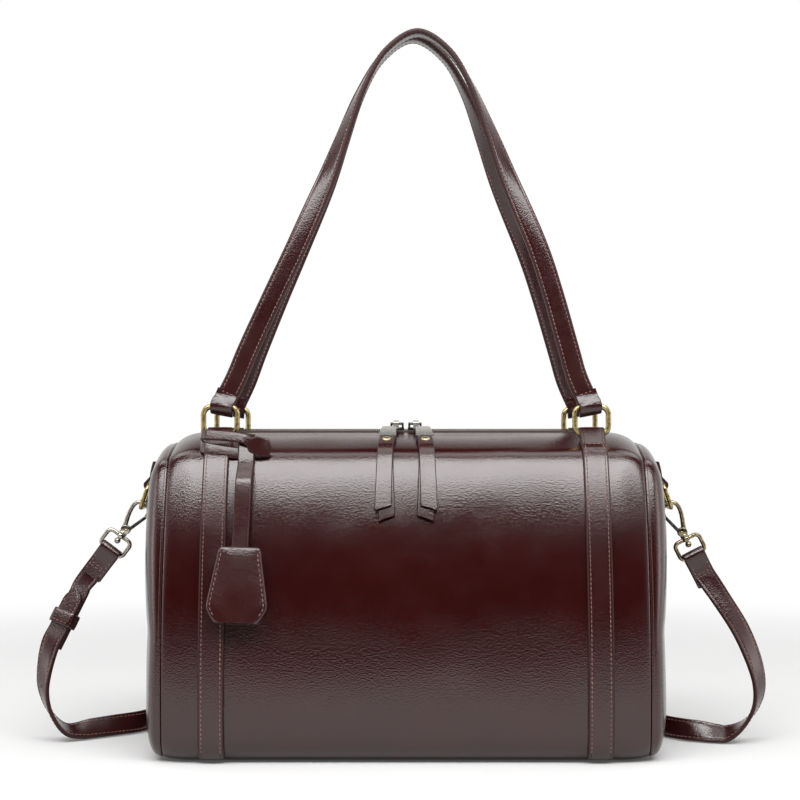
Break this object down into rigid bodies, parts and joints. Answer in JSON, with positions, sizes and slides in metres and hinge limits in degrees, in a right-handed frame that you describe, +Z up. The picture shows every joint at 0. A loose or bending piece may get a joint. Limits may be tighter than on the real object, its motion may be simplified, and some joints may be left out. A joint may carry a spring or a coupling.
{
  "type": "barrel bag",
  "caption": "Leather barrel handbag with twin handles on metal rings, two-way zip, hanging key bell and a clip-on shoulder strap.",
  "frame": {"origin": "centre of the base on the floor", "axes": "+X to the right along the zip, -Y towards the front, +Z up"},
  "size_m": [0.4532, 0.2319, 0.442],
  "materials": {
    "leather": "glossy oxblood",
    "edge_leather": "waxed edge",
    "lining_cloth": "woven cotton",
    "board": "matte",
    "zip_tape": "woven",
    "zip_brass": "antique",
    "gunmetal": "dark plated",
    "nickel": "pale plated",
    "antique_brass": "antique",
    "spring_steel": "bright wire"
  },
  "bodies": {
    "bag": {"front_panel": "leather", "back_panel": "leather", "base_panel": "leather", "left_end_panel": "leather", "right_end_panel": "leather", "left_piping": "edge_leather", "right_piping": "edge_leather", "lining": "lining_cloth", "left_end_lining": "lining_cloth", "right_end_lining": "lining_cloth", "base_board": "board", "inner_pocket": "lining_cloth", "front_zip_tape": "zip_tape", "back_zip_tape": "zip_tape", "front_zip_teeth": "zip_brass", "back_zip_teeth": "zip_brass", "front_left_body_strap": "leather", "front_right_body_strap": "leather", "back_left_body_strap": "leather", "back_right_body_strap": "leather", "left_end_tab": "leather", "right_end_tab": "leather", "key_loop": "leather", "shoulder_strap": "leather", "strap_end": "leather", "strap_stud": "antique_brass"},
    "front_rings": {"front_left_ring": "antique_brass", "front_right_ring": "antique_brass"},
    "back_rings": {"back_left_ring": "antique_brass", "back_right_ring": "antique_brass"},
    "front_grip": {"front_handle": "leather"},
    "back_grip": {"back_handle": "leather"},
    "left_slider": {"left_zip_slider": "gunmetal"},
    "left_pull": {"left_pull_cap": "nickel", "left_pull_tab": "leather", "left_pull_rivet": "antique_brass"},
    "left_end_loop": {"left_end_ring": "antique_brass"},
    "left_clip_loop": {"left_strap_ring": "nickel"},
    "left_clip": {"left_hook": "nickel", "left_gate_pin": "antique_brass", "left_gate_spring": "spring_steel"},
    "left_clip_gate": {"left_gate": "gunmetal"},
    "right_slider": {"right_zip_slider": "gunmetal"},
    "right_pull": {"right_pull_cap": "nickel", "right_pull_tab": "leather", "right_pull_rivet": "antique_brass"},
    "right_end_loop": {"right_end_ring": "antique_brass"},
    "right_clip_loop": {"right_strap_ring": "nickel"},
    "right_clip": {"right_hook": "nickel", "right_gate_pin": "antique_brass", "right_gate_spring": "spring_steel"},
    "right_clip_gate": {"right_gate": "gunmetal"},
    "keeper": {"strap_keeper": "leather"},
    "key_hanger": {"key_strap": "leather"},
    "key_loop_ring": {"key_ring": "antique_brass"},
    "bell": {"bell_front": "leather", "bell_back": "leather"}
  },
  "joints": [
    {"name": "front_rings_swing", "type": "hinge", "parent": "bag", "child": "front_rings", "pos_m": [0, -0.03424, 0.19054], "axis": [1, 0, 0], "range_deg": [0, 25]},
    {"name": "back_rings_swing", "type": "hinge", "parent": "bag", "child": "back_rings", "pos_m": [0, 0.03424, 0.19054], "axis": [-1, 0, 0], "range_deg": [0, 30]},
    {"name": "front_handle_drop", "type": "hinge", "parent": "front_rings", "child": "front_grip", "pos_m": [0, -0.03424, 0.20714], "axis": [1, 0, 0], "range_deg": [0, 105]},
    {"name": "back_handle_drop", "type": "hinge", "parent": "back_rings", "child": "back_grip", "pos_m": [0, 0.03424, 0.20714], "axis": [-1, 0, 0], "range_deg": [0, 105]},
    {"name": "left_slider_open", "type": "slide", "parent": "bag", "child": "left_slider", "axis": [-1, 0, 0], "range_m": [0, 0.058]},
    {"name": "right_slider_open", "type": "slide", "parent": "bag", "child": "right_slider", "axis": [1, 0, 0], "range_m": [0, 0.082]},
    {"name": "left_pull_lift", "type": "hinge", "parent": "left_slider", "child": "left_pull", "pos_m": [0, 0, 0.1971], "axis": [-1, 0, 0], "range_deg": [0, 100]},
    {"name": "right_pull_lift", "type": "hinge", "parent": "right_slider", "child": "right_pull", "pos_m": [0, 0, 0.1971], "axis": [-1, 0, 0], "range_deg": [0, 100]},
    {"name": "left_end_ring_swing", "type": "hinge", "parent": "bag", "child": "left_end_loop", "pos_m": [-0.16025, 0, 0.15866], "axis": [0, 1, 0], "range_deg": [-2, 2]},
    {"name": "left_strap_ring_swing", "type": "hinge", "parent": "bag", "child": "left_clip_loop", "pos_m": [-0.1858, 0, 0.11747], "axis": [0.7986, 0, -0.6018], "range_deg": [-4, 4]},
    {"name": "left_hook_swivel", "type": "hinge", "parent": "left_clip_loop", "child": "left_clip", "pos_m": [-0.16538, 0, 0.14457], "axis": [0.6018, 0, 0.7986], "range_deg": [-20, 20]},
    {"name": "left_gate_open", "type": "hinge", "parent": "left_clip", "child": "left_clip_gate", "pos_m": [-0.1754, 0, 0.13027], "axis": [0, -1, 0], "range_deg": [0, 18], "stiffness_Nm_per_rad": 0.02, "springref_deg": -20.05},
    {"name": "right_end_ring_swing", "type": "hinge", "parent": "bag", "child": "right_end_loop", "pos_m": [0.16025, 0, 0.15866], "axis": [0, 1, 0], "range_deg": [-2, 2]},
    {"name": "right_strap_ring_swing", "type": "hinge", "parent": "bag", "child": "right_clip_loop", "pos_m": [0.18078, 0, 0.11434], "axis": [-0.891, 0, -0.454], "range_deg": [-4, 4]},
    {"name": "right_hook_swivel", "type": "hinge", "parent": "right_clip_loop", "child": "right_clip", "pos_m": [0.16538, 0, 0.14457], "axis": [-0.454, 0, 0.891], "range_deg": [-20, 20]},
    {"name": "right_gate_open", "type": "hinge", "parent": "right_clip", "child": "right_clip_gate", "pos_m": [0.17277, 0, 0.12875], "axis": [0, 1, 0], "range_deg": [0, 18], "stiffness_Nm_per_rad": 0.02, "springref_deg": -20.05},
    {"name": "keeper_slide", "type": "slide", "parent": "bag", "child": "keeper", "axis": [-0.4055, -0.2323, -0.8841], "range_m": [-0.004, 0.004]},
    {"name": "key_strap_swing", "type": "hinge", "parent": "bag", "child": "key_hanger", "pos_m": [-0.0945, -0.054, 0.17608], "axis": [-1, 0, 0], "range_deg": [0, 30]},
    {"name": "key_ring_swing", "type": "hinge", "parent": "key_hanger", "child": "key_loop_ring", "pos_m": [-0.0945, -0.08405, 0.10171], "axis": [1, 0, 0], "range_deg": [-4, 4]},
    {"name": "bell_lift", "type": "slide", "parent": "key_hanger", "child": "bell", "axis": [0, 0.2419, 0.9703], "range_m": [0, 0.032]}
  ]
}
